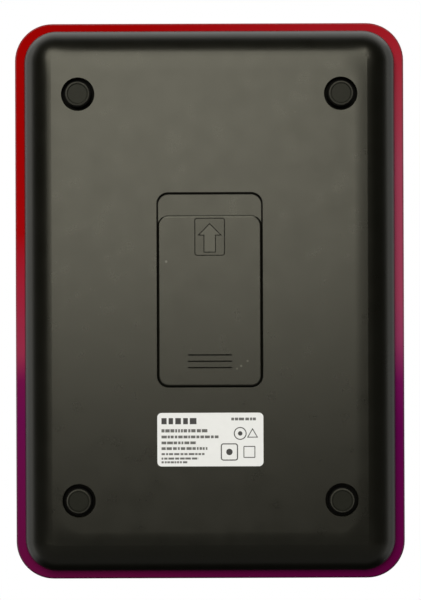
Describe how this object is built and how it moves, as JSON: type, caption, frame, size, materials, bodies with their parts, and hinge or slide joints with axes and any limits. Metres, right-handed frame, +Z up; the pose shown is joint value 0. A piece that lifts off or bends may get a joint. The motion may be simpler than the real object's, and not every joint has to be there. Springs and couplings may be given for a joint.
{
  "type": "digital kitchen scale",
  "caption": "Slim digital kitchen scale: rounded glass platform with a coloured back print, dished plastic tray, load-cell feet, display and sliding battery door.",
  "frame": {"origin": "on the table plane that the feet stand on, below the middle of the platform", "axes": "+Z up, +Y to the rear, so the display is at the front on the -Y side; the battery door slides towards +Y"},
  "size_m": [0.161, 0.23, 0.0195],
  "materials": {
    "platform_glass": "clear toughened glass, ground edge",
    "back_print": "printed colour behind glass, red to purple",
    "foam": "black foam",
    "tray_plastic": "fine textured black ABS",
    "label_paper": "off-white film with dark print",
    "pad_rubber": "matte black rubber",
    "cup_plastic": "black plastic",
    "cell_steel": "blasted spring steel",
    "gauge_sealant": "white silicone",
    "retainer_plastic": "black plastic",
    "screw_steel": "zinc plated steel",
    "board_laminate": "green solder mask on glass fibre board",
    "resin": "black resin",
    "ceramic_parts": "tinned ceramic parts",
    "lcd": "liquid crystal panel",
    "holder_plastic": "white plastic",
    "zebra_rubber": "layered conductive rubber",
    "spring_steel": "nickel plated spring wire",
    "contact_metal": "nickel plated sheet",
    "battery_wrap": "printed sleeve over a steel can",
    "wire_mixed": "PVC insulation",
    "wire_red": "PVC insulation",
    "wire_black": "PVC insulation"
  },
  "bodies": {
    "scale": {"glass_platform": "platform_glass", "platform_print": "back_print", "bonding_tape": "foam", "glass_support_pads": "foam", "base_tray": "tray_plastic", "rating_label": "label_paper", "load_cell_front_left": "cell_steel", "load_cell_front_right": "cell_steel", "load_cell_rear_left": "cell_steel", "load_cell_rear_right": "cell_steel", "strain_gauge_front_left": "gauge_sealant", "strain_gauge_front_right": "gauge_sealant", "strain_gauge_rear_left": "gauge_sealant", "strain_gauge_rear_right": "gauge_sealant", "load_cell_retainer_front_left": "retainer_plastic", "load_cell_retainer_front_right": "retainer_plastic", "load_cell_retainer_rear_left": "retainer_plastic", "load_cell_retainer_rear_right": "retainer_plastic", "load_cell_wires_front_left": "wire_mixed", "load_cell_wires_front_right": "wire_mixed", "load_cell_wires_rear_left": "wire_mixed", "load_cell_wires_rear_right": "wire_mixed", "retainer_screws": "screw_steel", "board_screws": "screw_steel", "main_board": "board_laminate", "controller_chip": "resin", "board_components": "ceramic_parts", "lcd_glass": "lcd", "lcd_holder": "holder_plastic", "lcd_connector_strip": "zebra_rubber", "window_gasket": "foam", "touch_spring_power": "spring_steel", "touch_spring_unit": "spring_steel", "battery_a": "battery_wrap", "battery_b": "battery_wrap", "positive_terminal": "contact_metal", "negative_terminal": "contact_metal", "bridge_contact": "contact_metal", "negative_spring": "spring_steel", "bridge_spring": "spring_steel", "battery_lead_positive": "wire_red", "battery_lead_negative": "wire_black"},
    "door": {"battery_door": "tray_plastic"},
    "foot_front_left": {"foot_pad_front_left": "pad_rubber", "foot_cup_front_left": "cup_plastic"},
    "foot_front_right": {"foot_pad_front_right": "pad_rubber", "foot_cup_front_right": "cup_plastic"},
    "foot_rear_left": {"foot_pad_rear_left": "pad_rubber", "foot_cup_rear_left": "cup_plastic"},
    "foot_rear_right": {"foot_pad_rear_right": "pad_rubber", "foot_cup_rear_right": "cup_plastic"}
  },
  "joints": [
    {"name": "door_slide", "type": "slide", "parent": "scale", "child": "door", "axis": [0, 1, 0], "range_m": [0, 0.0086]},
    {"name": "foot_press_front_left", "type": "slide", "parent": "scale", "child": "foot_front_left", "axis": [0, 0, 1], "range_m": [0, 0.0004], "stiffness_N_per_m": 3000, "springref_m": -0.0006, "deforming": ["load_cell_front_left"]},
    {"name": "foot_press_front_right", "type": "slide", "parent": "scale", "child": "foot_front_right", "axis": [0, 0, 1], "range_m": [0, 0.0004], "stiffness_N_per_m": 3000, "springref_m": -0.0006, "deforming": ["load_cell_front_right"]},
    {"name": "foot_press_rear_left", "type": "slide", "parent": "scale", "child": "foot_rear_left", "axis": [0, 0, 1], "range_m": [0, 0.0004], "stiffness_N_per_m": 3000, "springref_m": -0.0006, "deforming": ["load_cell_rear_left"]},
    {"name": "foot_press_rear_right", "type": "slide", "parent": "scale", "child": "foot_rear_right", "axis": [0, 0, 1], "range_m": [0, 0.0004], "stiffness_N_per_m": 3000, "springref_m": -0.0006, "deforming": ["load_cell_rear_right"]}
  ]
}
